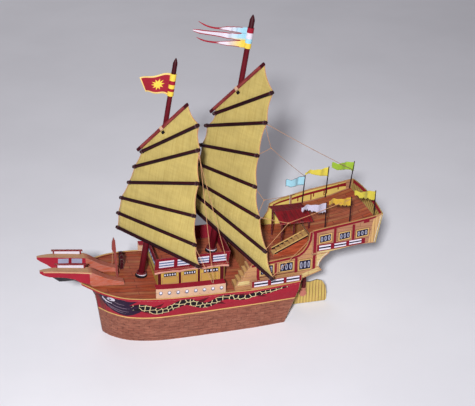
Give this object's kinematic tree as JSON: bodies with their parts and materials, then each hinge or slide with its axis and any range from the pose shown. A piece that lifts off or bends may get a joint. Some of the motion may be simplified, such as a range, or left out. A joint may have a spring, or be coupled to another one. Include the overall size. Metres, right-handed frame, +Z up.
{
  "type": "card model of a two-masted sailing junk",
  "caption": "Painted card model of a Chinese sailing junk with battened sails on raked masts, a high poop, bow wings, flags and a hinged rudder.",
  "frame": {"origin": "middle of the flat hull bottom, on the surface that the model stands on", "axes": "+X towards the bow, +Y to port, +Z up"},
  "size_m": [0.3597, 0.1309, 0.3392],
  "materials": {
    "mast_wood": "stained round wood, satin",
    "white_card": "white card",
    "crimson_card": "printed matt card, crimson",
    "deck_card": "printed matt card, brown deck planks",
    "wall_card": "printed matt card, yellow tan panels",
    "flag_red": "thin paper, red with a yellow border",
    "batten_wood": "dark stained round sticks, satin",
    "sail_cloth": "matt woven mat paper",
    "hull_card": "printed matt card, brown planks below and crimson band above",
    "flag_white": "thin paper, white",
    "pale_card": "printed matt card, cream panel",
    "flag_yellow": "thin paper, yellow",
    "flag_orange": "thin paper, orange",
    "flag_green": "thin paper, green",
    "flag_blue": "thin paper, light blue"
  },
  "bodies": {
    "root": {"anchor_spar": "mast_wood", "bow_rail_port": "white_card", "bow_rail_starboard": "white_card", "bow_wing_port": "crimson_card", "bow_wing_starboard": "crimson_card", "deckhouse_balustrade": "crimson_card", "deckhouse_roof": "deck_card", "deckhouse_walls": "wall_card", "foremast": "mast_wood", "foremast_collar": "white_card", "foremast_flag": "flag_red", "hull": "hull_card", "main_deck": "deck_card", "mainmast": "mast_wood", "mainmast_collar": "white_card", "mainmast_pennant": "flag_white", "midship_bulwark_port": "pale_card", "midship_bulwark_starboard": "pale_card", "pavilion_frame": "mast_wood", "pavilion_roof": "crimson_card", "poop_deck": "deck_card", "poop_front": "wall_card", "poop_side_port": "wall_card", "poop_side_starboard": "wall_card", "poop_stairs": "wall_card", "poop_transom": "wall_card", "quarter_deck": "deck_card", "quarter_front": "wall_card", "quarter_side_port": "wall_card", "quarter_side_starboard": "wall_card", "quarter_steps": "wall_card", "stern_counter": "wall_card", "stern_flag_port_aft": "flag_yellow", "stern_flag_port_fore": "flag_white", "stern_flag_port_mid": "flag_orange", "stern_flag_starboard_aft": "flag_green", "stern_flag_starboard_fore": "flag_blue", "stern_flag_starboard_mid": "flag_yellow", "stern_post": "hull_card", "windlass": "mast_wood"},
    "foresail": {"foresail_batten_1": "batten_wood", "foresail_batten_2": "batten_wood", "foresail_batten_3": "batten_wood", "foresail_batten_4": "batten_wood", "foresail_batten_5": "batten_wood", "foresail_boom": "batten_wood", "foresail_cloth": "sail_cloth", "foresail_yard": "mast_wood"},
    "mainsail": {"mainsail_batten_1": "batten_wood", "mainsail_batten_2": "batten_wood", "mainsail_batten_3": "batten_wood", "mainsail_batten_4": "batten_wood", "mainsail_batten_5": "batten_wood", "mainsail_batten_6": "batten_wood", "mainsail_boom": "batten_wood", "mainsail_cloth": "sail_cloth", "mainsail_yard": "mast_wood"},
    "rudder": {"rudder_blade": "wall_card", "rudder_stock": "mast_wood"}
  },
  "joints": [
    {"name": "foresail_swing", "type": "hinge", "parent": "root", "child": "foresail", "pos_m": [0.053, 0, 0.062], "axis": [-0.1668, 0, 0.986], "range_deg": [-20, 8]},
    {"name": "mainsail_swing", "type": "hinge", "parent": "root", "child": "mainsail", "pos_m": [-0.0234, 0, 0.0825], "axis": [-0.1582, 0, 0.9874], "range_deg": [-15, 6]},
    {"name": "rudder_turn", "type": "hinge", "parent": "root", "child": "rudder", "pos_m": [-0.13, 0, 0.03], "axis": [0, 0, 1], "range_deg": [-35, 35]}
  ]
}
